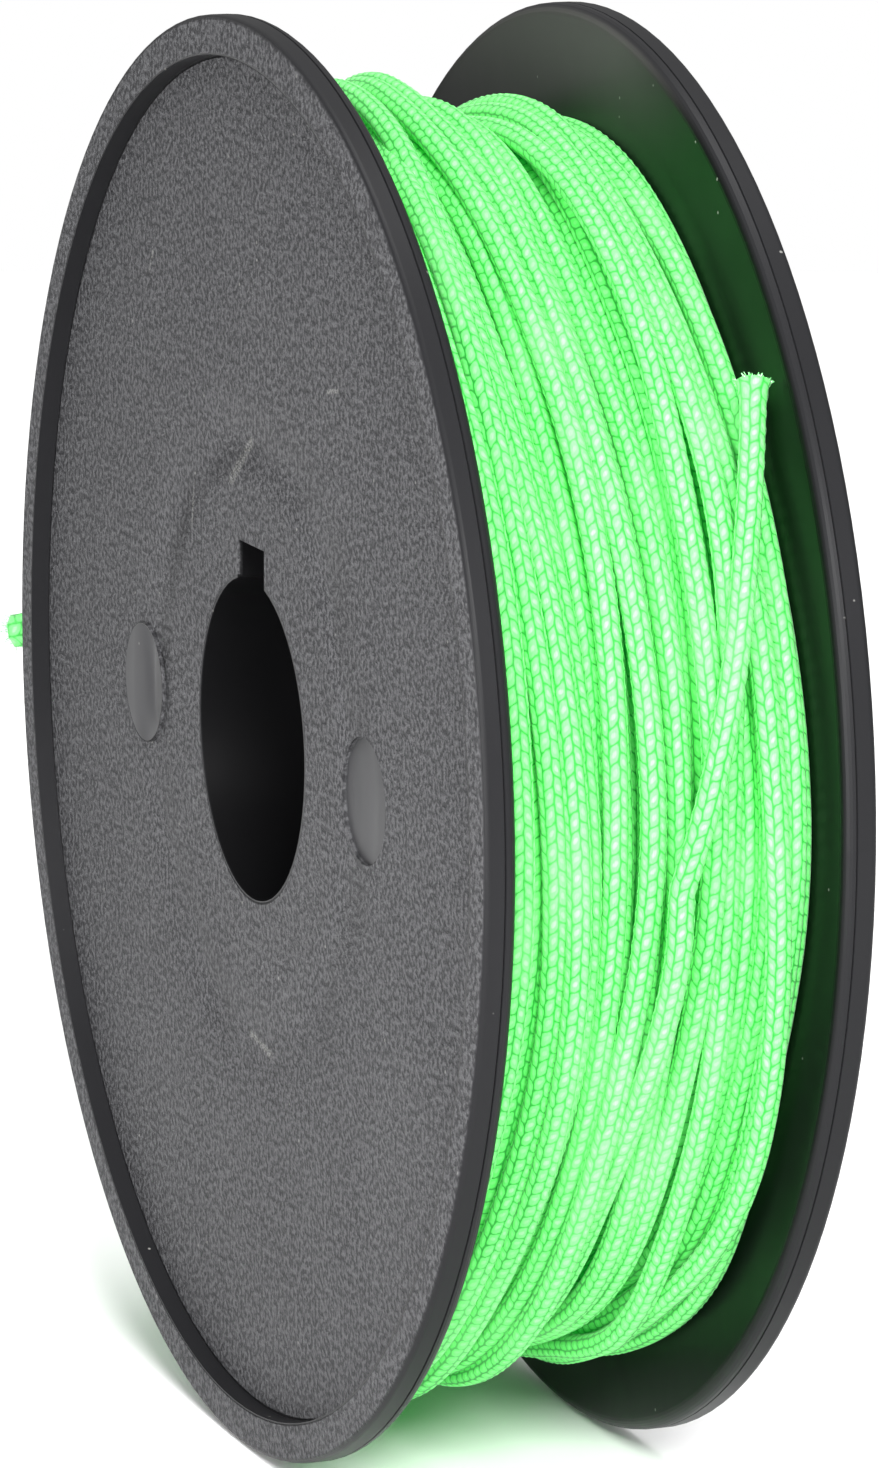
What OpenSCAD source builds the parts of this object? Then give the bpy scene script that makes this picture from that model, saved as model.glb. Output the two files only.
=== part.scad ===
// Line spool: one keyed moulded spool with braided line wound on its drum.
// The axle runs along Y and the origin is the centre of the bore. The front
// flange faces -Y, and the keyway is at the top of the bore, towards +Z.

/* [Spool] */
// Diameter of both flanges
flange_d = 72; // [60:1:90]
// Width over both rims
spool_w = 19.5; // [16:0.1:30]
// Thickness of a flange at its rim
flange_t = 1.7; // [1.6:0.1:2.5]
// Radial width of the raised rim on a flange's outer face
rim_w = 2; // [1.5:0.1:3]
// Depth of the panel inside the rim
panel_depth = 0.95; // [0.3:0.05:1]
// Outer diameter of the drum that the line is wound on
drum_d = 30; // [28:0.5:34]

/* [Axle bore] */
// Diameter of the bore
bore_d = 16.2; // [12:0.1:17]
// Width of the keyway
key_w = 4.1; // [3:0.1:5]
// Height of the keyway's top above the axis
key_top = 9.8; // [9.2:0.1:10]

/* [Moulding] */
// Wall thickness of the drum, the bore sleeve and the keyway
wall_t = 1.5; // [1.2:0.1:1.6]
// Number of ribs between the sleeve and the drum
rib_count = 6; // [3:1:12]
// Thickness of a rib
rib_t = 1.2; // [0.8:0.1:1.6]
// Radius of a flange's inner corner
inner_round = 0.6; // [0.4:0.1:0.7]
// Radius of a flange's outer corner
outer_round = 0.3; // [0.2:0.05:0.4]
// Diameter of the two ejector marks on the front panel
mark_d = 6.2; // [5:0.1:7]
// Distance of the ejector marks from the axis
mark_r = 16.8; // [15:0.1:18]
// How far the left mark stands proud, and nearly how deep the right one is
mark_step = 0.2; // [0.1:0.05:0.3]

/* [Line] */
// Diameter of the braided line
line_d = 1.3; // [0.8:0.1:2]
// Diameter over the wound line
wound_d = 66.6; // [60:0.2:67]

/* [Hidden] */
fine = 96;

flange_r = flange_d / 2;
front_z = spool_w / 2;              // front rim, along the axle towards -Y
inner_z = front_z - flange_t;       // inner face of the front flange
panel_z = front_z - panel_depth;    // front panel inside the rim
panel_r = flange_r - rim_w;
drum_r = drum_d / 2;
bore_r = bore_d / 2;
sleeve_r = bore_r + wall_t;
core_r = drum_r - wall_t;           // outer wall of the cored ring pocket
pocket_z = panel_z - wall_t;        // floor of that pocket
set_back = 0.4;                     // ribs stop this far inside the pocket's mouth
parting = 0.1;                      // width and depth of the parting groove
wound_r = wound_d / 2;
shoulder = line_d / 2;              // rounding of the winding's two edges
overrun = 1;                        // how far a cutter runs past a face

// Routes of the two loose ends: [angle round the axle, position along Y, radius].
// Angle 0 is +X and 90 is +Z. The tail lies over the winding on the +X side, and
// the start sticks out over the front rim on the -X side.
TAIL_ROUTE = [[-3, 1, 33.5], [3, 2, 33.8], [9, 3, 33.8], [15, 3.9, 33.8],
              [21, 4.7, 33.8], [27, 5.5, 33.9], [33, 6.3, 34.1], [37.5, 6.9, 34.3]];
START_ROUTE = [[180, -7.2, 32.8], [180.4, -7.3, 35.3], [180.9, -8.2, 37.4], [181.7, -9.9, 39.2]];

// Turns a shape drawn round z so that its axis lies along Y, front towards -Y.
module along_axle() {
    rotate([90, 0, 0]) children();
}

// Points of a rounded corner between two angles.
function corner(cx, cz, r, from, to, steps = 6) =
    [for (i = [0 : steps]) let (a = from + (to - from) * i / steps)
        [cx + r * cos(a), cz + r * sin(a)]];

// A rim's section from its inner face out to its panel, on the front side.
function rim_section() = concat(
    corner(flange_r - inner_round, inner_z + inner_round, inner_round, -90, 0),
    [[flange_r - parting, inner_z + inner_round + parting / 2],
     [flange_r, inner_z + inner_round + parting]],
    corner(flange_r - outer_round, front_z - outer_round, outer_round, 0, 90),
    [[panel_r, front_z], [panel_r, panel_z]]);

// The same points on the back side, in the order that closes the outline.
function mirrored(points) = [for (i = [len(points) - 1 : -1 : 0]) [points[i][0], -points[i][1]]];

// Both flanges, the drum and the bore sleeve, with the ring pocket between the
// drum and the sleeve open at the back.
module flanges_and_drum() {
    rotate_extrude($fn = fine) polygon(concat(
        [[drum_r, -inner_z], [drum_r, inner_z]],
        rim_section(),
        [[bore_r, panel_z], [bore_r, -panel_z], [sleeve_r, -panel_z], [sleeve_r, pocket_z],
         [core_r, pocket_z], [core_r, -panel_z]],
        mirrored(rim_section())));
}

// A block in the pocket, bedded in the front web and set back from the open end.
module pocket_block(x, y, w, d) {
    translate([x, y, set_back - panel_z]) cube([w, d, pocket_z + wall_t / 2 + panel_z - set_back]);
}

// Ribs that tie the drum to the sleeve, the first one over the keyway.
module ribs() {
    for (i = [0 : rib_count - 1]) rotate(90 + i * 360 / rib_count)
        pocket_block(bore_r + wall_t / 2, -rib_t / 2, core_r - bore_r, rib_t);
}

// Walls and roof of the keyway, outside the sleeve.
module key_housing() {
    pocket_block(-key_w / 2 - wall_t, bore_r / 2, key_w + 2 * wall_t, key_top + wall_t - bore_r / 2);
}

// The bore and its keyway, cut right through.
module axle_cut() {
    cylinder(r = bore_r, h = spool_w + 2 * overrun, center = true, $fn = fine);
    translate([-key_w / 2, 0, -front_z - overrun])
        cube([key_w, key_top, spool_w + 2 * overrun]);
}

// A round mark on the front panel, from one height to another.
module ejector_mark(x, from, to) {
    translate([x, 0, from]) cylinder(d = mark_d, h = to - from, $fn = fine);
}

module spool_body() {
    color([0.16, 0.16, 0.17]) along_axle() difference() {
        union() {
            flanges_and_drum();
            ribs();
            key_housing();
            ejector_mark(-mark_r, panel_z - mark_step, panel_z + mark_step);
        }
        axle_cut();
        ejector_mark(mark_r, panel_z - mark_step, front_z + overrun);
    }
}

// The whole winding as one ring between the flanges.
module line_coil() {
    color([0.35, 0.95, 0.4]) along_axle() rotate_extrude($fn = fine)
        polygon(concat(
            [[drum_r, -inner_z]],
            corner(wound_r - shoulder, shoulder - inner_z, shoulder, -90, 0),
            corner(wound_r - shoulder, inner_z - shoulder, shoulder, 0, 90),
            [[drum_r, inner_z]]));
}

// A route point in x, y and z.
function place(p) = [p[2] * cos(p[0]), p[1], p[2] * sin(p[0])];
function unit(v) = v / norm(v);

// One 8-sided ring round point i of a path, square to the path's direction.
function ring(path, i, r) = let (
        n = len(path),
        dir = unit(path[min(i + 1, n - 1)] - path[max(i - 1, 0)]),
        side = unit(cross(dir, [0, 0.6, 0.8])),
        rise = cross(side, dir))
    [for (k = [0 : 7]) path[i] + r * (side * cos(45 * k) + rise * sin(45 * k))];

module tube(route, d) {
    path = [for (p = route) place(p)];
    n = len(path);
    polyhedron(
        points = [for (i = [0 : n - 1]) each ring(path, i, d / 2)],
        faces = concat(
            [[for (k = [0 : 7]) k]],
            [for (i = [0 : n - 2], k = [0 : 7])
                [8 * i + k, 8 * (i + 1) + k, 8 * (i + 1) + (k + 1) % 8]],
            [for (i = [0 : n - 2], k = [0 : 7])
                [8 * i + k, 8 * (i + 1) + (k + 1) % 8, 8 * i + (k + 1) % 8]],
            [[for (k = [7 : -1 : 0]) 8 * (n - 1) + k]]));
}

// The cut end that lies over the winding.
module line_tail() {
    color([0.4, 1, 0.45]) tube(TAIL_ROUTE, line_d);
}

// The other cut end, which leans over the front rim.
module line_start() {
    color([0.4, 1, 0.45]) tube(START_ROUTE, line_d);
}

spool_body();
line_coil();
line_tail();
line_start();
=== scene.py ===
"""A spool of braided line: the visible model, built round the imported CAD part.

The axle runs along Y and the origin is the centre of the bore. Angles round the
axle are in degrees from +X towards +Z. Lengths are in metres.
"""

import math

import bpy
import numpy as np
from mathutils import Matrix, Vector


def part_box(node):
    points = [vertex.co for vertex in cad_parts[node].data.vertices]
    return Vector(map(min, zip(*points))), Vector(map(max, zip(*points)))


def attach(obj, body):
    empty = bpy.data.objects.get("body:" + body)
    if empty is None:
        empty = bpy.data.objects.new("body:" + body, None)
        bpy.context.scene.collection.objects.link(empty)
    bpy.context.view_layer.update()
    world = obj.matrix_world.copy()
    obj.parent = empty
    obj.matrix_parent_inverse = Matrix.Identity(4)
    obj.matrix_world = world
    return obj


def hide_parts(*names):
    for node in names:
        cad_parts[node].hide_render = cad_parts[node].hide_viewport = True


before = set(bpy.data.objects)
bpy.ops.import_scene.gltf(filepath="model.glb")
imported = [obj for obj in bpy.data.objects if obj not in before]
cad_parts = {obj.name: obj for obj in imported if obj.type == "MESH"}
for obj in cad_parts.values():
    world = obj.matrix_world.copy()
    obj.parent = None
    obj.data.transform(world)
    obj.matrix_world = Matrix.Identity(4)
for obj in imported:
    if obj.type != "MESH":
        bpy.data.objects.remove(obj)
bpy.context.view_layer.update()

# ---------------------------------------------------------------- dimensions
MM = 0.001


def axle_distances(node):
    """How far each of a CAD node's points is from the axle."""
    points = np.array([v.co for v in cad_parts[node].data.vertices])
    return np.hypot(points[:, 0], points[:, 2])


body_low, body_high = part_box("spool_body")

FLANGE_R = body_high.z
FRONT_Y = body_low.y
INNER_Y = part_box("line_coil")[1].y           # inner face of the back flange
DRUM_R = float(axle_distances("line_coil").min())
WOUND_R = float(axle_distances("line_coil").max())

# The same values as in the CAD source.
LINE_D = 1.3 * MM
LINE_R = LINE_D / 2
PANEL_R = FLANGE_R - 2 * MM
PANEL_Y = -FRONT_Y - 0.95 * MM               # how far out both panels lie
BORE_R = 8.1 * MM
MARK_X = 16.8 * MM                           # where the two ejector marks are
MARK_R = 3.1 * MM

KEYWAY_R = 11 * MM                           # the bore and its keyway lie inside this

# -------------------------------------------------------------------- camera
# Fitted to the photo's outlines of the flanges, the bore and the ejector marks.
CAMERA_AZIMUTH = math.radians(70.17)
CAMERA_ELEVATION = math.radians(10.76)
CAMERA_DISTANCE = 0.4037
CAMERA_LENS = 197.4
CAMERA_SENSOR = 36
CAMERA_SHIFT = (0.0149, -0.0041)


def make_camera():
    """A long lens, low and from the right, so that both flanges are seen nearly edge on."""
    data = bpy.data.cameras.new("camera")
    data.lens = CAMERA_LENS
    data.sensor_width = CAMERA_SENSOR
    data.shift_x, data.shift_y = CAMERA_SHIFT
    data.clip_start = 0.01
    camera = linked("camera", data)
    back = Vector((
        math.sin(CAMERA_AZIMUTH) * math.cos(CAMERA_ELEVATION),
        -math.cos(CAMERA_AZIMUTH) * math.cos(CAMERA_ELEVATION),
        math.sin(CAMERA_ELEVATION),
    ))
    camera.location = back * CAMERA_DISTANCE
    camera.rotation_euler = (-back).to_track_quat("-Z", "Y").to_euler()
    bpy.context.scene.camera = camera


# ----------------------------------------------------------- the line's route
# The CAD's two loose ends: (angle, Y, radius).
TAIL_ROUTE = [(-3, 0.001, 0.0335), (3, 0.002, 0.0338), (9, 0.003, 0.0338), (15, 0.0039, 0.0338),
              (21, 0.0047, 0.0338), (27, 0.0055, 0.0339), (33, 0.0063, 0.0341), (37.5, 0.0069, 0.0343)]
START_ROUTE = [(180, -0.0072, 0.0328), (180.4, -0.0073, 0.0353), (180.9, -0.0082, 0.0374),
               (181.7, -0.0099, 0.0392)]

START_ANGLE = START_ROUTE[0][0]              # where the line leaves the drum
END_ANGLE = TAIL_ROUTE[-1][0]
LAST_ANGLE = -40                             # where the last turn starts to ease into the tail
LAST_Y = 0.1 * MM                            # and where it lies there
TURNS = 170
DOUBLE_LAYERS = 7                            # full trips across the drum and back
END_TURN = TURNS + (END_ANGLE - START_ANGLE) / 360
TAIL_TURN = END_TURN - (END_ANGLE - TAIL_ROUTE[0][0]) / 360
REACH = INNER_Y - LINE_R                     # furthest Y of a strand's centre
DWELL = 0.8 * MM                             # how far the winding hand overruns the back flange

# A strand's wander along Y: (knots in a turn, height).
WANDERS = [(5, 0.2 * MM), (1.3, 0.16 * MM)]
SEED = 14

# Bends seen in the outer turns: (turns before the end, angle, half-width in
# degrees, shift along Y in mm).
BENDS = [
    (1, 45, 34, 0.8), (1, 0, 18, 1.5),
    (2, 80, 14, -0.8), (2, 38, 24, 0.7), (2, -40, 36, 0.9),
    (3, 70, 20, -1.1), (3, -30, 34, 0.7),
    (4, 98, 18, 2.4), (4, 55, 20, -1.4), (4, -25, 24, 1.5),
    (5, 0, 80, 0.4), (6, 10, 80, 0.6),
    (15, 25, 14, 0.5), (15, 3, 12, -0.9),
    (16, 60, 26, -1.1), (16, 2, 14, -0.5), (16, -30, 12, 0.6), (16, -62, 16, -1.2),
    (17, -5, 110, -0.9), (18, -5, 90, -0.3),
]

# How a turn comes to rest on the turns below it.
STEPS = 48                                   # points in a turn
SETTLE = 0.9                                 # height of one strand over another, in line widths
PRESS = 0.85                                 # how near two strands may lie side by side, in line widths
SLIPS = np.linspace(-0.12, 0.12, 5) * MM     # sideways steps that a strand may take from point to point
MOST_SLIP = 0.45 * MM                        # and how far aside it may come to lie
STIFF = 0.1                                  # how much lower a place must be, for how far aside it is
Y_SMOOTHING = 7                              # points that a moving average spans
RADIUS_SMOOTHING = 5

# How the outer turns stray from a true cylinder.
LOOSE = 1.0 * MM                             # how far off centre they sit
LOOSE_ANGLE = -30
FULLER = 1.9 * MM                            # how much higher they sit at the front flange
SAG = 0.35                                   # share of that which moves from the top to the bottom
CREST = 1.0 * MM                             # how much the last turn's crossing lifts the top
CREST_Y = -0.2 * MM
CREST_W = 1.6 * MM

# The lead from the loose start down the front flange and on to the drum.
LEAD_STEP = 0.5 * MM                         # between its points over the rim
LEAD_STEPS_DOWN = 30
LEAD_BEND = 2 * LINE_D                       # radius of the bend on to the drum
LEAD_BEND_STEPS = 10
LEAD_WIDTH = 0.8 * LINE_D                    # room that the turns leave for it
LEAD_HALF_ANGLE = 9
FRAYED = 2                                   # steps of the start that are loose fibres only

# How closely the runs of the line are sampled.
COARSE_STEPS = 40                            # points in a hidden turn
LEAD_GAP = 0.01                              # turns left open after the lead
TAIL_GAP = 0.001                             # and before the tail


def smooth_curve(values, at):
    """A smooth curve through values at 0, 1, 2 and so on, read at other places."""
    i = np.floor(at).astype(int)
    f = at - i
    edge = len(values) - 1
    a, b, c, d = (values[np.clip(i + k, 0, edge)] for k in (-1, 0, 1, 2))
    return b + 0.5 * f * (c - a + f * (2 * a - 5 * b + 4 * c - d + f * (3 * (b - c) + d - a)))


def smooth_resample(t, values, at):
    """Values at other places, on a smooth curve through evenly spaced samples."""
    step = t[1] - t[0]
    just_inside = len(t) - 1.0001
    return smooth_curve(values, np.clip((at - t[0]) / step, 0, just_inside))


def smooth_noise(rng, turn, per_turn, amplitude):
    """A smooth random curve with a knot every 1 / per_turn turns, read at each turn."""
    margin = 2                               # knots before the first turn
    knots = rng.normal(0, 1, int(END_TURN * per_turn) + 3 * margin)
    return amplitude * smooth_curve(knots, turn * per_turn + margin)


def smoothed(values, width):
    """A moving average with soft ends."""
    kernel = np.hanning(width + 2)[1:-1]
    kernel /= kernel.sum()
    padded = np.pad(values, width // 2, mode="edge")
    return np.convolve(padded, kernel, mode="valid")


def gone_along(points):
    """How far along a line each of its points is."""
    return np.concatenate([[0], np.cumsum(np.linalg.norm(np.diff(points, axis=0), axis=1))])


def even_steps(points, spacing):
    """The same line with a point every `spacing`."""
    gone = gone_along(points)
    at = np.linspace(0, gone[-1], max(int(round(gone[-1] / spacing)), 1) + 1)
    return np.stack([np.interp(at, gone, points[:, k]) for k in range(3)], -1)


def place(angle, y, radius):
    """Points from angle, Y and radius."""
    a = np.radians(angle)
    return np.stack([radius * np.cos(a), np.broadcast_to(y, np.shape(a)), radius * np.sin(a)], -1)


def through(route, spacing):
    """A smooth curve through a route of (angle, Y, radius)."""
    knots = np.array([place(*knot) for knot in route])
    at = np.linspace(0, len(knots) - 1, int(gone_along(knots)[-1] / spacing) + 1)
    t = np.arange(len(knots), dtype=float)
    return np.stack([smooth_resample(t, knots[:, k], at) for k in range(3)], -1)


def turns_before_end(turns_back, angle):
    """The turn count at an angle, a whole number of turns before the last turn's."""
    return END_TURN - turns_back + (angle - END_ANGLE) / 360


def across(turn):
    """Y of the strand's centre: to and fro between the flanges, with a wander."""
    rng = np.random.default_rng(SEED)
    last = turns_before_end(0, LAST_ANGLE)
    span = 2 * REACH + DWELL
    travel = 2 * span * DOUBLE_LAYERS + LAST_Y + REACH
    way = np.abs(LAST_Y + REACH - travel * (1 - turn / last)) % (2 * span)
    y = np.minimum(way, 2 * span - way) - REACH
    for per_turn, amplitude in WANDERS:
        y += smooth_noise(rng, turn, per_turn, amplitude)
    for turns_back, angle, half_width, shift in BENDS:
        off = (turn - turns_before_end(turns_back, angle)) * 360 / half_width
        y += shift * MM * np.exp(-off * off)
    return keep_between_flanges(turn, y)


def keep_between_flanges(turn, y):
    """Holds strands off both flanges, and off the lead that runs up the front one."""
    angle = (START_ANGLE + 360 * turn) % 360
    near_lead = np.exp(-((angle - START_ANGLE) / LEAD_HALF_ANGLE) ** 4)
    return np.clip(y, -REACH + near_lead * LEAD_WIDTH, REACH)


def lay(aim):
    """Winds the strand on, point by point. Each point rests on the turns wound
    before it, and slips a little sideways to where it lies lowest."""
    y = np.zeros(len(aim))
    radius = np.zeros(len(aim))
    slip = 0.0
    for i in range(len(aim)):
        earlier = slice(i % STEPS, i, STEPS)
        tries = np.clip(slip + SLIPS, -MOST_SLIP, MOST_SLIP)
        places = np.clip(aim[i] + tries, -REACH, REACH)
        apart = (places[:, None] - y[earlier]) / (PRESS * LINE_D)
        lift = SETTLE * LINE_D * np.sqrt(np.clip(1 - apart ** 2, 0, None))
        rest = np.where(np.abs(apart) < 1, radius[earlier] + lift, 0)
        lowest = np.maximum(rest.max(axis=1, initial=0), DRUM_R + LINE_R)
        best = np.argmin(lowest + STIFF * np.abs(tries))
        slip = tries[best]
        y[i] = places[best]
        radius[i] = lowest[best]
    return y, radius


def loosened(turn, y, radius):
    """The outer turns sit a little off centre, looser towards LOOSE_ANGLE, and
    higher towards the front flange. A crest runs over the top of the winding."""
    outer = np.clip((radius - DRUM_R) / (WOUND_R - DRUM_R), 0, 1)
    angle = START_ANGLE + 360 * turn
    height = np.sin(np.radians(angle))
    loose = LOOSE * np.cos(np.radians(angle - LOOSE_ANGLE))
    fuller = FULLER * np.clip(-y / REACH, 0, 1) * (1 - SAG * height)
    crest = CREST * np.exp(-((y - CREST_Y) / CREST_W) ** 2) * np.clip(height, 0, 1) ** 4
    return radius + outer ** 3 * (loose + fuller + crest)


def eased_into_tail(turn, y, radius):
    """Bends the last turn to where the tail's route starts."""
    _, tail_y, tail_radius = TAIL_ROUTE[0]
    last = turns_before_end(0, LAST_ANGLE)
    part = np.clip((turn - last) / (TAIL_TURN - last), 0, 1)
    ease = part ** 2 * (3 - 2 * part)
    return y + ease * (tail_y - y[-1]), radius + ease * (tail_radius - radius[-1])


def lead_points():
    """From the loose start over the front rim, down the flange and on to the drum."""
    over_rim = through(START_ROUTE[::-1], LEAD_STEP)[FRAYED:]
    top = over_rim[-1]
    bend_top = DRUM_R + LINE_R + LEAD_BEND
    drop = np.linspace(0, 1, LEAD_STEPS_DOWN)[1:, None]
    down = top + drop * (place(START_ANGLE, -REACH, bend_top) - top)
    a = np.linspace(0, math.pi / 2, LEAD_BEND_STEPS)[1:]
    aside = LEAD_BEND * (1 - np.cos(a))
    height = bend_top - LEAD_BEND * np.sin(a)
    angle = START_ANGLE + np.degrees(np.arctan2(aside, height))
    return np.concatenate([over_rim, down, place(angle, -REACH, np.hypot(aside, height))])


def line_centres(fine_turns, medium_turns, fine, medium):
    """Centre points of the whole line, in three runs: coarse, medium and fine."""
    turn = np.arange(0, TAIL_TURN, 1 / STEPS)
    y, radius = lay(across(turn))
    y, radius = smoothed(y, Y_SMOOTHING), smoothed(radius, RADIUS_SMOOTHING)
    radius = loosened(turn, y, radius)
    y, radius = eased_into_tail(turn, y, radius)

    def points_at(turns):
        return place(START_ANGLE + 360 * turns, smooth_resample(turn, y, turns),
                     smooth_resample(turn, radius, turns))

    def stretch(start, stop, spacing):
        half_step = spacing / (2 * math.pi * WOUND_R) / 2
        return points_at(np.arange(start, stop, half_step))

    lead_end = math.degrees(math.atan2(LEAD_BEND, DRUM_R + LINE_R)) / 360
    fine_start = END_TURN - fine_turns
    medium_start = fine_start - medium_turns
    hidden = points_at(np.arange(lead_end + LEAD_GAP, medium_start, 1 / COARSE_STEPS))
    coarse = np.concatenate([lead_points(), hidden])
    middle = even_steps(stretch(medium_start, fine_start, medium), medium)
    wound = stretch(fine_start, TAIL_TURN - TAIL_GAP, fine)
    outer = even_steps(np.concatenate([wound, through(TAIL_ROUTE, fine)]), fine)
    return coarse, middle, outer


# ------------------------------------------------------------ the line's mesh
COLUMNS = 8                                  # columns of picks round the braid
PICK = 0.85 * MM                             # length of one pick
RELIEF = 0.03 * MM                           # height of a pick
LEAN = 0.35                                  # how far a pick leans across its column
MEAN_R = 0.97 * LINE_R                       # the braid's radius between its picks' tops and gaps
WRAP = 1000                                  # picks after which the texture's count restarts
END_FLARE = 0.34                             # how much wider the tail's cut end is
END_FLARE_LENGTH = 0.5 * MM
START_FLARE = 0.5                            # and the start's
START_FLARE_LENGTH = 2.8 * MM
ASIDE = (0.0, 0.6, 0.8)                      # neither end of the line points this way


def ring_frames(points):
    """Two directions square to the line at each point, turning as little as they can."""
    along = np.gradient(points, axis=0)
    along /= np.linalg.norm(along, axis=1)[:, None]
    side = np.zeros_like(points)
    current = np.cross(along[0], ASIDE)
    for i, direction in enumerate(along):
        current = current - direction * current.dot(direction)
        current = current / math.sqrt(current.dot(current))
        side[i] = current
    return side, np.cross(along, side)


def braid_relief(sides, v):
    """Height of the picks over the braid's mean radius, ring by ring."""
    column = np.arange(sides) * COLUMNS / sides
    return RELIEF * np.cos(math.pi * (column[None, :] - 0.5)) * np.cos(2 * math.pi * v[:, None])


def braid_radii(sides, relief, gone, left):
    """Radius of each corner of each ring, from how far its ring is from both ends."""
    radius = np.full((len(gone), sides), MEAN_R)
    if relief:
        radius += braid_relief(sides, gone / PICK)
    radius *= 1 + END_FLARE * np.exp(-left / END_FLARE_LENGTH)[:, None]
    radius *= 1 + START_FLARE * np.exp(-(gone / START_FLARE_LENGTH) ** 4)[:, None]
    return radius


def ring_faces(count, sides, v):
    """The quads between `count` rings, and their texture coordinates."""
    i, k = np.meshgrid(np.arange(count - 1), np.arange(sides), indexing="ij")
    i, k = i.ravel(), k.ravel()
    k2 = (k + 1) % sides
    quads = np.stack([i * sides + k, i * sides + k2, (i + 1) * sides + k2, (i + 1) * sides + k], -1)
    low = v[i] % WRAP
    high = low + v[i + 1] - v[i]
    left = k * COLUMNS / sides
    right = (k + 1) * COLUMNS / sides
    return quads, np.stack([left, low, right, low, right, high, left, high], -1).reshape(-1, 4, 2)


def line_mesh(name, runs):
    """One mesh of the braid from runs of (centre points, sides, with relief or not)."""
    whole = np.concatenate([points for points, _, _ in runs])
    gone = gone_along(whole)
    side, rise = ring_frames(whole)
    verts, faces, uvs = [], [], []
    start = 0
    base = 0
    for points, sides, relief in runs:
        rings = slice(start, min(start + len(points) + 1, len(whole)))
        count = rings.stop - rings.start
        angle = np.arange(sides)[None, :, None] * 2 * math.pi / sides
        spokes = side[rings, None, :] * np.cos(angle) + rise[rings, None, :] * np.sin(angle)
        radius = braid_radii(sides, relief, gone[rings], gone[-1] - gone[rings])
        verts.append((whole[rings, None, :] + spokes * radius[:, :, None]).reshape(-1, 3))
        quads, quad_uvs = ring_faces(count, sides, gone[rings] / PICK)
        faces.append(base + quads)
        uvs.append(quad_uvs)
        base += count * sides
        start += len(points)
    caps = [list(range(runs[0][1] - 1, -1, -1)), list(range(base - runs[-1][1], base))]
    return build_mesh(name, np.concatenate(verts), np.concatenate(faces), np.concatenate(uvs), caps)


def build_mesh(name, verts, quads, uvs, caps):
    """A mesh object from arrays of quads and the two caps that close them."""
    loops = np.concatenate([quads.ravel(), *caps])
    sizes = np.concatenate([np.full(len(quads), 4), [len(c) for c in caps]])
    mesh = bpy.data.meshes.new(name)
    mesh.vertices.add(len(verts))
    mesh.vertices.foreach_set("co", verts.astype(np.float32).ravel())
    mesh.loops.add(len(loops))
    mesh.loops.foreach_set("vertex_index", loops.astype(np.int32))
    mesh.polygons.add(len(sizes))
    mesh.polygons.foreach_set("loop_start", (np.cumsum(sizes) - sizes).astype(np.int32))
    mesh.polygons.foreach_set("loop_total", sizes.astype(np.int32))
    mesh.polygons.foreach_set("use_smooth", np.ones(len(sizes), bool))
    layer = mesh.uv_layers.new(name="braid")
    cap_uvs = np.full((sum(len(c) for c in caps), 2), 0.5)
    layer.data.foreach_set("uv", np.concatenate([uvs.reshape(-1, 2), cap_uvs]).astype(np.float32).ravel())
    mesh.update(calc_edges=True)
    mesh.validate()
    return linked(name, mesh)


def linked(name, data):
    """An object in the scene."""
    made = bpy.data.objects.new(name, data)
    bpy.context.scene.collection.objects.link(made)
    return made


# ------------------------------------------------------------- cut-end fibres
FIBRE_R = 0.035 * MM
FIBRE_STEPS = 6
FIBRE_SIDES = 4
FIBRE_TAPER = 0.6                            # share of its radius that a fibre loses by its tip
ROOT_R = 1.2 * LINE_R                        # the fibres' feet lie within this
ROOT_DEPTH = 0.1 * MM                        # and this far inside the braid
REACH_SHARES = (0.35, 1)                     # a fibre's length, of the longest
LEAN_SHARES = (0.1, 1)                       # its lean, of the most
THICK_SHARES = (0.7, 1.6)                    # its thickness, of the usual
CURL = 0.25                                  # how far its tip strays, of its length

# The two cut ends' fibres: how many, the longest, the most lean, and the seed.
TAIL_TUFT = (160, 0.22 * MM, 1.8, 3)
START_TUFT = (160, 0.7 * MM, 1.0, 4)


def fibre_tuft(name, root, outward, count, length, spread, seed):
    """Loose fibres at a cut end, each a thin tapered tube that curls away."""
    rng = np.random.default_rng(seed)
    outward = outward / np.linalg.norm(outward)
    one = np.cross(outward, ASIDE)
    one /= np.linalg.norm(one)
    two = np.cross(outward, one)
    verts, faces = [], []
    for _ in range(count):
        a = rng.uniform(0, 2 * math.pi)
        away = one * math.cos(a) + two * math.sin(a)
        foot = root + away * ROOT_R * math.sqrt(rng.uniform(0, 1)) - outward * ROOT_DEPTH
        reach = length * rng.uniform(*REACH_SHARES)
        lean = spread * rng.uniform(*LEAN_SHARES)
        curl = rng.normal(0, CURL, 3) * reach
        thick = FIBRE_R * rng.uniform(*THICK_SHARES)
        faces += tube_faces(len(verts), FIBRE_STEPS, FIBRE_SIDES)
        for t in np.linspace(0, 1, FIBRE_STEPS):
            centre = foot + outward * reach * t + away * reach * lean * t * t + curl * t ** 3
            verts += ring(centre, one, two, thick * (1 - FIBRE_TAPER * t), FIBRE_SIDES)
    mesh = bpy.data.meshes.new(name)
    mesh.from_pydata(verts, [], faces)
    for polygon in mesh.polygons:
        polygon.use_smooth = True
    return linked(name, mesh)


def ring(centre, one, two, radius, sides):
    """Points on a circle in the plane of two directions."""
    angles = [2 * math.pi * k / sides for k in range(sides)]
    return [tuple(centre + radius * (one * math.cos(a) + two * math.sin(a))) for a in angles]


def tube_faces(base, steps, sides):
    """Faces of a closed tube whose rings of points follow on from point `base`."""
    faces = []
    for i in range(base, base + (steps - 1) * sides, sides):
        for k in range(sides):
            k2 = (k + 1) % sides
            faces.append((i + k, i + k2, i + sides + k2, i + sides + k))
    faces.append(tuple(range(base + sides - 1, base - 1, -1)))
    faces.append(tuple(range(base + (steps - 1) * sides, base + steps * sides)))
    return faces


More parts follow.
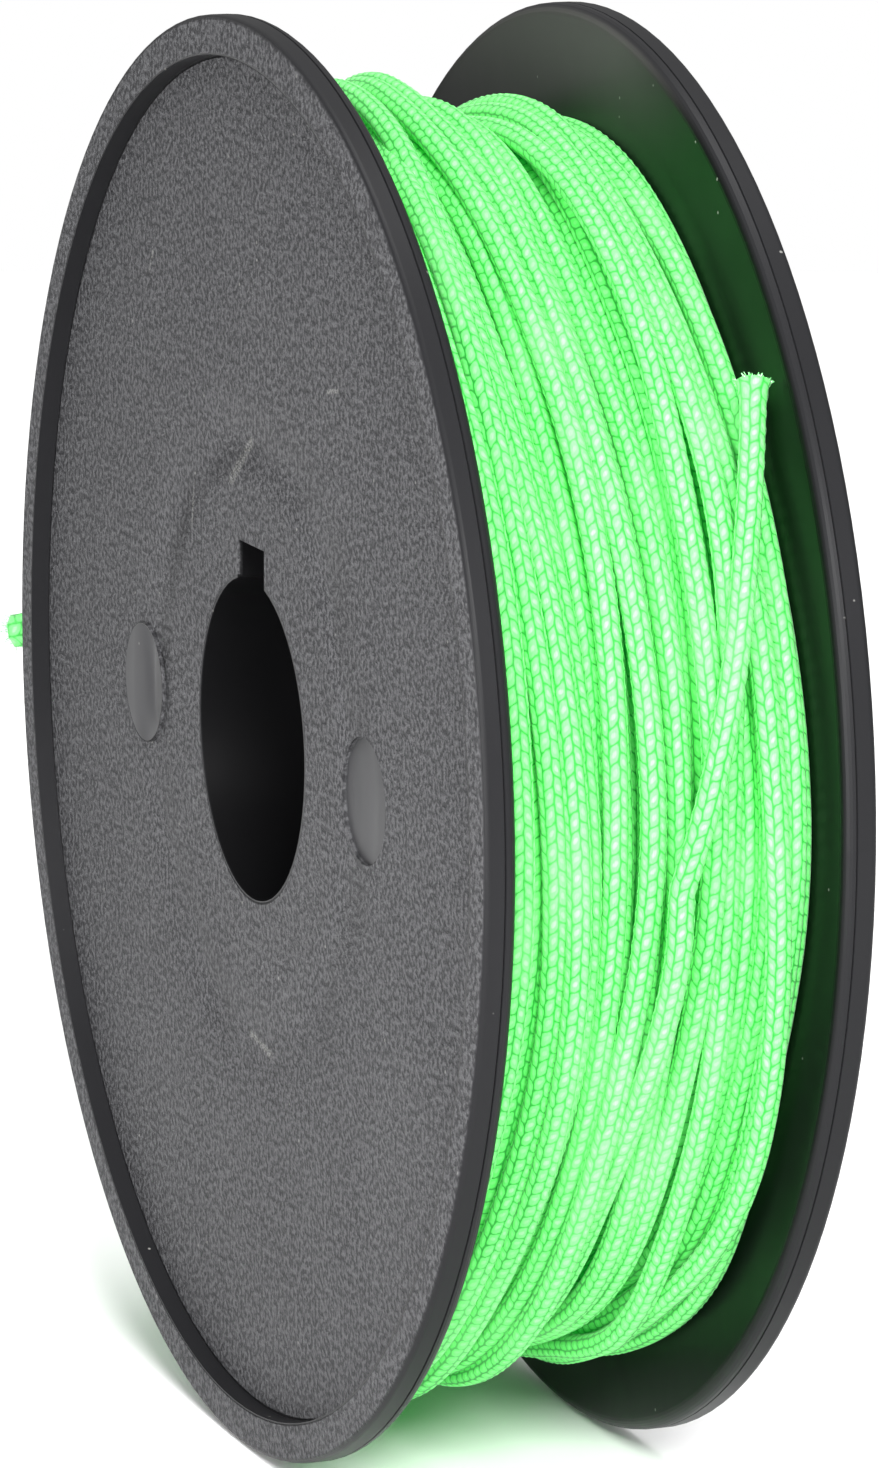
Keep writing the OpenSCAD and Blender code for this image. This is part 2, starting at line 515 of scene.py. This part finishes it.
# ----------------------------------------------------------------- materials
class Shader:
    """A material's node tree, built by calls that return sockets."""

    def __init__(self, name):
        self.material = bpy.data.materials.new(name)
        self.material.use_nodes = True
        self.tree = self.material.node_tree
        self.surface = self.tree.nodes["Principled BSDF"]

    def node(self, kind, **settings):
        made = self.tree.nodes.new(kind)
        for key, value in settings.items():
            setattr(made, key, value)
        return made

    def feed(self, socket, value):
        """Links a socket to another, or sets its plain value."""
        if isinstance(value, bpy.types.NodeSocket):
            self.tree.links.new(value, socket)
        else:
            socket.default_value = value

    def where(self):
        """The place on the object, in metres."""
        return self.node("ShaderNodeTexCoord").outputs["Object"]

    def math(self, operation, *values):
        made = self.node("ShaderNodeMath", operation=operation)
        for socket, value in zip(made.inputs, values):
            self.feed(socket, value)
        return made.outputs[0]

    def times(self, product, *others):
        for other in others:
            product = self.math("MULTIPLY", product, other)
        return product

    def minus(self, a, b):
        return self.math("SUBTRACT", a, b)

    def absolute(self, value):
        return self.math("ABSOLUTE", value)

    def vector(self, operation, *values):
        made = self.node("ShaderNodeVectorMath", operation=operation)
        sockets = made.inputs
        if operation == "SCALE":
            sockets = (made.inputs["Vector"], made.inputs["Scale"])
        for socket, value in zip(sockets, values):
            self.feed(socket, value)
        return made.outputs["Value" if operation in ("LENGTH", "DISTANCE") else "Vector"]

    def xyz(self, socket):
        made = self.node("ShaderNodeSeparateXYZ")
        self.feed(made.inputs[0], socket)
        return made.outputs[0], made.outputs[1], made.outputs[2]

    def join(self, x, y, z=0.0):
        made = self.node("ShaderNodeCombineXYZ")
        for socket, value in zip(made.inputs, (x, y, z)):
            self.feed(socket, value)
        return made.outputs[0]

    def between(self, value, low, high, to_low=0.0, to_high=1.0):
        """Maps low..high smoothly to to_low..to_high."""
        made = self.node("ShaderNodeMapRange", interpolation_type="SMOOTHSTEP")
        for socket, amount in zip(made.inputs[:5], (value, low, high, to_low, to_high)):
            self.feed(socket, amount)
        return made.outputs[0]

    def noise(self, vector, scale, detail=2.0, roughness=0.5, output="Fac"):
        made = self.node("ShaderNodeTexNoise")
        self.feed(made.inputs["Vector"], vector)
        made.inputs["Scale"].default_value = scale
        made.inputs["Detail"].default_value = detail
        made.inputs["Roughness"].default_value = roughness
        return made.outputs[output]

    def mix(self, factor, a, b):
        made = self.node("ShaderNodeMix", data_type="RGBA")
        self.feed(made.inputs["Factor"], factor)
        for key, value in (("A", a), ("B", b)):
            socket = [s for s in made.inputs if s.name == key and s.type == "RGBA"][0]
            self.feed(socket, value)
        return [s for s in made.outputs if s.type == "RGBA"][0]

    def bump(self, height, distance, strength, onto=None):
        made = self.node("ShaderNodeBump")
        made.inputs["Strength"].default_value = strength
        made.inputs["Distance"].default_value = distance
        self.feed(made.inputs["Height"], height)
        if onto is not None:
            self.feed(made.inputs["Normal"], onto)
        return made.outputs[0]

    def set(self, **sockets):
        """Feeds the surface's own sockets, named with _ for a space."""
        for key, value in sockets.items():
            self.feed(self.surface.inputs[key.replace("_", " ")], value)


# Sizes in the line's look.
UNEVENNESS = 0.35                            # range that a pick's outline strays in, in picks
UNEVEN_SCALE = 1800.0                        # noise scales are per metre
FADED_SCALE = 130.0
THREADS = 14.0                               # threads across a pick
THREAD_RUN = 1.5                             # changes of a thread in a pick's length
PICK_DEPTH = 0.05 * MM
THREAD_DEPTH = 0.012 * MM
FIBRE_SCALE = 3000.0
FIBRE_DEPTH = 0.01 * MM

# Colours of the line.
GAP_SHADE_GREEN = (0.01, 0.2, 0.02, 1)             # painted shade between the picks
PICK_GREEN = (0.14, 0.72, 0.155, 1)
HIGHLIGHT_GREEN = (0.4, 0.92, 0.41, 1)           # painted highlight on the crowns of the picks
THREAD_GREEN = (0.04, 0.65, 0.06, 1)         # between the threads of a pick
FADED_GREEN = (0.26, 0.78, 0.27, 1)
FILL_GLOW_GREEN = (0.01, 1.0, 0.1, 1)             # painted light: a faint glow that lightens the shade in the gaps
FIBRE_GREEN = (0.25, 0.95, 0.3, 1)
FIBRE_PALE = (0.75, 1.0, 0.75, 1)


def uneven_braid(s, where):
    """The braid's texture coordinates, pushed about a little so that no two picks match."""
    uv = s.node("ShaderNodeUVMap", uv_map="braid").outputs[0]
    jitter = s.vector("SUBTRACT", s.noise(where, UNEVEN_SCALE, output="Color"), (0.5, 0.5, 0.5))
    u, v, _ = s.xyz(s.vector("ADD", uv, s.vector("SCALE", jitter, UNEVENNESS)))
    return u, v


def braid_material():
    """Neon-green picks in staggered columns, with painted shade between them, painted highlights on their
    crowns and a faint painted glow.
    """
    s = Shader("line_braid_look")
    where = s.where()
    u, v = uneven_braid(s, where)
    column = s.math("FLOOR", u)
    odd = s.math("MODULO", column, 2.0)
    across_pick = s.minus(s.minus(u, column), 0.5)
    lean = s.times(s.math("MULTIPLY_ADD", odd, -2.0, 1.0), across_pick, LEAN)
    w = s.math("ADD", s.math("MULTIPLY_ADD", odd, 0.5, v), lean)
    pick = s.math("FLOOR", w)
    along_pick = s.minus(s.minus(w, pick), 0.5)

    crown = s.math("COSINE", s.times(across_pick, math.pi))
    swell = s.math("COSINE", s.times(along_pick, math.pi))
    height = s.times(crown, s.math("POWER", swell, 0.8))
    # dot is where the painted highlight sits on each pick.
    dot = s.times(crown, s.math("POWER", swell, 2.5))
    thread = s.noise(s.join(s.times(across_pick, THREADS), s.times(w, THREAD_RUN), column), 1.0)
    # Each pick's painted highlight is brighter or dimmer at random.
    each = s.node("ShaderNodeTexWhiteNoise", noise_dimensions="2D")
    s.feed(each.inputs["Vector"], s.join(column, pick))
    lift = s.math("MULTIPLY_ADD", each.outputs["Value"], 0.7, 0.45)

    # Painted shade: the gaps between the picks are darker than their tops.
    body = s.mix(s.between(height, 0.0, 0.42), GAP_SHADE_GREEN, PICK_GREEN)
    # Painted highlights on the crowns of the picks.
    colour = s.mix(s.times(s.between(dot, 0.5, 0.95), lift, 0.45), body, HIGHLIGHT_GREEN)
    colour = s.mix(s.between(thread, 0.3, 0.7, 0.0, 0.22), colour, THREAD_GREEN)
    faded = s.between(s.noise(where, FADED_SCALE, 3.0), 0.45, 0.7, 0.0, 0.22)
    bumpy = s.bump(height, PICK_DEPTH, 0.5)
    s.set(Base_Color=s.mix(faded, colour, FADED_GREEN))
    s.set(Normal=s.bump(thread, THREAD_DEPTH, 0.6, onto=bumpy))
    s.set(Roughness=s.between(thread, 0.2, 0.8, 0.5, 0.66))
    s.set(Sheen_Weight=0.1, Specular_IOR_Level=0.2)
    # Painted light: a faint green glow that lifts the shadows.
    s.set(Emission_Color=FILL_GLOW_GREEN, Emission_Strength=0.07)
    return s.material


def fibre_material():
    """Paler loose fibres, uneven in colour."""
    s = Shader("cut_fibre_look")
    patch = s.noise(s.where(), FIBRE_SCALE, 3.0)
    s.set(Base_Color=s.mix(s.between(patch, 0.35, 0.65), FIBRE_GREEN, FIBRE_PALE))
    s.set(Roughness=s.between(patch, 0.3, 0.7, 0.4, 0.6))
    s.set(Normal=s.bump(patch, FIBRE_DEPTH, 0.5))
    return s.material


# Sizes in the plastic's look.
GRAIN_SCALE = 3400.0
FINE_GRAIN_SCALE = 9000.0
FINE_GRAIN_SHARE = 0.4                       # its height, of the coarser grain's
GRAIN_DEPTH = 0.2 * MM
CLOUD_SCALE = 90.0                           # the soft unevenness of moulded faces
CLOUD_DEPTH = 0.25 * MM
SINK_SCALE = 140.0
SINK_DEPTH = 0.7 * MM
DUST_SCALE = 700.0                           # cells with one speck at most
DUSTLESS = 0.72                              # share of the cells that hold none

# Colours of the plastic.
EDGE_BLACK = (0.011, 0.011, 0.012, 1)
DEEP_SHADE_BLACK = (0.003, 0.003, 0.0033, 1)       # painted shade inside the bore and between the flanges
MARK_BLACK = (0.037, 0.037, 0.039, 1)        # the two ejector marks
PIT_BLACK = (0.028, 0.028, 0.03, 1)          # the grain's pits
GRAIN_GREY = (0.085, 0.085, 0.089, 1)        # and its tops
TOP_LIGHT_GREY = (0.05, 0.049, 0.047, 1)       # painted light on the upper part of the inner faces
DUST_GREY = (0.3, 0.3, 0.28, 1)

# The front panel sinks a little in a ring over the drum's wall.
SINK_R = 15 * MM
SINK_W = 2.2 * MM

# Light scuffs on the front panel: x and z of the middle, tilt in degrees, length
# and width, in mm.
SCUFFS = [(-1.4, 13.8, 36, 5.0, 0.8), (1.4, -15.3, -8, 4, 0.6), (-9.1, 10.4, 80, 2.6, 0.3),
          (12.4, 19.2, 10, 2.0, 0.3), (-15.7, 22.1, 60, 1.6, 0.25)]


class SpoolZones:
    """Masks of the moulding's different surfaces, each 0 to 1."""

    def __init__(self, s, where):
        x, y, z = s.xyz(where)
        radius = s.vector("LENGTH", s.join(x, 0.0, z))
        outward = s.absolute(y)
        from_mark = s.vector("DISTANCE", s.join(s.absolute(x), 0.0, z), (MARK_X, 0.0, 0.0))
        off_edge = s.between(radius, FLANGE_R - 0.1 * MM, FLANGE_R - 0.3 * MM)
        off_bore = s.between(radius, BORE_R + 0.05 * MM, BORE_R + 0.2 * MM)
        off_step = s.between(s.absolute(s.minus(radius, PANEL_R)), 0.04 * MM, 0.16 * MM)
        on_face = s.between(outward, PANEL_Y - 0.3 * MM, PANEL_Y - 0.1 * MM)
        self.in_front = s.math("LESS_THAN", y, 0.0)
        self.off_mark = s.math("MAXIMUM", s.between(from_mark, MARK_R - 0.06 * MM, MARK_R + 0.02 * MM),
                               s.minus(1.0, self.in_front))
        self.grained = s.times(on_face, off_edge, off_bore, self.off_mark, off_step)

        falling = s.between(radius, SINK_R - SINK_W, SINK_R)
        rising = s.between(radius, SINK_R, SINK_R + 1.6 * SINK_W)
        self.sink = s.times(on_face, s.minus(falling, rising))

        # Where the plastic gets painted shade: between the flanges and in the bore.
        between_flanges = s.times(s.between(outward, INNER_Y + 0.3 * MM, INNER_Y + 0.1 * MM),
                                  s.between(radius, FLANGE_R - 0.05 * MM, FLANGE_R - 0.4 * MM))
        self.in_bore = s.times(s.between(outward, PANEL_Y - 0.02 * MM, PANEL_Y - 0.1 * MM),
                               s.between(radius, KEYWAY_R + 1 * MM, KEYWAY_R))
        self.inside = s.math("MAXIMUM", between_flanges, self.in_bore)
        # Painted light near the top of the inner faces, where light from above falls.
        self.lit_top = s.times(s.between(z, 28 * MM, 35 * MM), s.between(x, 19 * MM, 5 * MM))


def plastic_relief(s, where, zones, grain, fine_grain, cloud):
    """The grain, a soft unevenness everywhere, and the sunken ring on the panels."""
    texture = s.times(zones.grained, s.math("MULTIPLY_ADD", fine_grain, FINE_GRAIN_SHARE, grain))
    relief = s.bump(texture, GRAIN_DEPTH, 1.0)
    relief = s.bump(cloud, CLOUD_DEPTH, 0.25, onto=relief)
    uneven = s.between(s.noise(where, SINK_SCALE, 1.0), 0.3, 0.7, 0.35, 1.0)
    return s.bump(s.times(zones.sink, uneven), -SINK_DEPTH, 1.0, onto=relief)


def plastic_shade(s, zones, grain):
    """The plastic's colour on each of its surfaces, with painted shade inside the bore and between the
    flanges, and painted light near the top of the inner faces.
    """
    # The painted light near the top lies over the painted shade.
    deep = s.mix(zones.lit_top, DEEP_SHADE_BLACK, TOP_LIGHT_GREY)
    # Painted shade inside the bore and between the flanges.
    smooth = s.mix(zones.inside, EDGE_BLACK, deep)
    smooth = s.mix(zones.off_mark, MARK_BLACK, smooth)
    pitted = s.mix(s.between(grain, 0.4, 0.62), PIT_BLACK, GRAIN_GREY)
    return s.mix(zones.grained, smooth, pitted)


def dust_specks(s, where, zones):
    """Rare small specks everywhere but in the bore."""
    speck = s.node("ShaderNodeTexVoronoi", feature="F1")
    s.feed(speck.inputs["Vector"], where)
    speck.inputs["Scale"].default_value = DUST_SCALE
    rare = s.math("GREATER_THAN", s.xyz(speck.outputs["Color"])[0], DUSTLESS)
    spot = s.between(speck.outputs["Distance"], 0.075, 0.04)
    return s.times(rare, spot, s.minus(1.0, zones.in_bore))


def scuff(s, where, zones, fine_grain, x, z, tilt, length, width):
    """One light scuff on the front panel, broken up by the grain. Sizes are in mm."""
    turned = s.node("ShaderNodeVectorRotate", rotation_type="Y_AXIS")
    s.feed(turned.inputs["Vector"], s.vector("SUBTRACT", where, (x * MM, 0.0, z * MM)))
    turned.inputs["Angle"].default_value = math.radians(tilt)
    lengthways, _, crossways = s.xyz(turned.outputs[0])
    long = s.between(s.absolute(lengthways), length * MM / 2, length * MM / 2.6)
    narrow = s.between(s.absolute(crossways), width * MM / 2, width * MM / 6)
    return s.times(long, narrow, zones.in_front, s.between(fine_grain, 0.42, 0.62))


def plastic_material():
    """Black moulded plastic: grained outer faces, smooth edges, bore and inner faces."""
    s = Shader("spool_plastic_look")
    where = s.where()
    zones = SpoolZones(s, where)
    grain = s.noise(where, GRAIN_SCALE, roughness=0.55)
    fine_grain = s.noise(where, FINE_GRAIN_SCALE)
    cloud = s.noise(where, CLOUD_SCALE, 3.0)
    dust = dust_specks(s, where, zones)
    for measures in SCUFFS:
        dust = s.math("MAXIMUM", dust, scuff(s, where, zones, fine_grain, *measures))
    s.set(Base_Color=s.mix(s.times(dust, 0.5), plastic_shade(s, zones, grain), DUST_GREY))
    s.set(Normal=plastic_relief(s, where, zones, grain, fine_grain, cloud))
    s.set(Roughness=s.math("MULTIPLY_ADD", zones.grained, 0.16, s.between(cloud, 0.3, 0.7, 0.34, 0.42)))
    s.set(Specular_IOR_Level=0.09)
    return s.material


def floor_material():
    """Nearly white matt card."""
    s = Shader("floor_look")
    fibre = s.noise(s.where(), 60.0, 4.0)
    s.set(Base_Color=s.mix(fibre, (0.88, 0.88, 0.88, 1), (0.93, 0.93, 0.93, 1)))
    s.set(Roughness=0.9)
    return s.material


# ---------------------------------------------------------------- the pieces
# Turns sampled finely and less finely, from the outside in.
FINE_TURNS, MEDIUM_TURNS = 19, 10
FINE = PICK / 4                              # between the points of the fine turns
MEDIUM = PICK
COARSE_SIDES, MEDIUM_SIDES, FINE_SIDES = 8, 12, 16


def make_line():
    """The whole line as one piece, with its two cut ends."""
    turns = ((FINE_TURNS, MEDIUM_TURNS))
    coarse, middle, outer = line_centres(*turns, FINE, MEDIUM)
    runs = [(coarse, COARSE_SIDES, False), (middle, MEDIUM_SIDES, False), (outer, FINE_SIDES, True)]
    line = line_mesh("braided_line", runs)
    line.data.materials.append(braid_material())
    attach(line, "root")

    # Each end points the way its last few centre points do.
    centres = np.concatenate([coarse, middle, outer])
    tail_fibres = fibre_tuft("tail_fibres", centres[-1], centres[-1] - centres[-8], *TAIL_TUFT)
    start_fibres = fibre_tuft("start_fibres", centres[0], centres[0] - centres[3], *START_TUFT)
    loose = fibre_material()
    for tuft in (tail_fibres, start_fibres):
        tuft.data.materials.append(loose)
        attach(tuft, "root")

    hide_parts("line_coil", "line_tail", "line_start")


def finish_spool():
    """The CAD's moulding keeps its shape and gets the plastic's look."""
    look = plastic_material()
    for material_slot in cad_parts["spool_body"].material_slots:
        material_slot.material = look


# ---------------------------------------------------------------- the studio
FLOOR_R = 0.45
FLOOR_SIDES = 96
FLOOR_GAP = 0.1 * MM                         # between the spool and the floor

# The room's light at heights from just under the horizon to nearly overhead.
ROOM_HEIGHTS = (-0.2, 0.9)
ROOM_STRENGTHS = (0.12, 0.9)

# Soft lamps that face the origin: (name, place, size, power in watts).
LAMPS = [
    ("front", (0.75, -0.12, 0.42), 0.3, 12.8),
    ("face", (0.26, -0.24, 0.02), 0.2, 1.6),
    ("top", (-0.1, 0.0, 0.9), 0.6, 5.0),
]


def make_floor():
    """A round pale table top under the spool."""
    rim = ring(Vector((0, 0, body_low.z - FLOOR_GAP)), Vector((1, 0, 0)), Vector((0, 1, 0)),
               FLOOR_R, FLOOR_SIDES)
    mesh = bpy.data.meshes.new("floor")
    mesh.from_pydata(rim, [], [tuple(range(FLOOR_SIDES))])
    mesh.materials.append(floor_material())
    linked("floor", mesh)


def area_light(name, spot, size, power):
    """A round soft lamp that faces the origin."""
    data = bpy.data.lights.new(name, "AREA")
    data.shape = "DISK"
    data.size = size
    data.energy = power
    lamp = linked(name, data)
    lamp.location = spot
    lamp.rotation_euler = (-Vector(spot)).to_track_quat("-Z", "Y").to_euler()


def make_world():
    """A white background, and for the light a room that is brighter overhead."""
    world = bpy.data.worlds.new("studio")
    bpy.context.scene.world = world
    world.use_nodes = True
    nodes, links = world.node_tree.nodes, world.node_tree.links
    backdrop = nodes["Background"]
    backdrop.inputs["Color"].default_value = (1, 1, 1, 1)
    room = nodes.new("ShaderNodeBackground")
    height = nodes.new("ShaderNodeSeparateXYZ")
    fade = nodes.new("ShaderNodeMapRange")
    fade.inputs["From Min"].default_value, fade.inputs["From Max"].default_value = ROOM_HEIGHTS
    fade.inputs["To Min"].default_value, fade.inputs["To Max"].default_value = ROOM_STRENGTHS
    seen = nodes.new("ShaderNodeLightPath")
    choose = nodes.new("ShaderNodeMixShader")
    links.new(nodes.new("ShaderNodeTexCoord").outputs["Generated"], height.inputs[0])
    links.new(height.outputs["Z"], fade.inputs["Value"])
    links.new(fade.outputs[0], room.inputs["Strength"])
    links.new(seen.outputs["Is Camera Ray"], choose.inputs[0])
    links.new(room.outputs[0], choose.inputs[1])
    links.new(backdrop.outputs[0], choose.inputs[2])
    links.new(choose.outputs[0], nodes["World Output"].inputs["Surface"])


def make_light():
    """The room and the lamps, with plain colours."""
    make_world()
    for lamp in LAMPS:
        area_light(*lamp)
    bpy.context.scene.view_settings.view_transform = "Standard"


make_camera()
make_line()
finish_spool()
make_floor()
make_light()

bpy.context.view_layer.update()
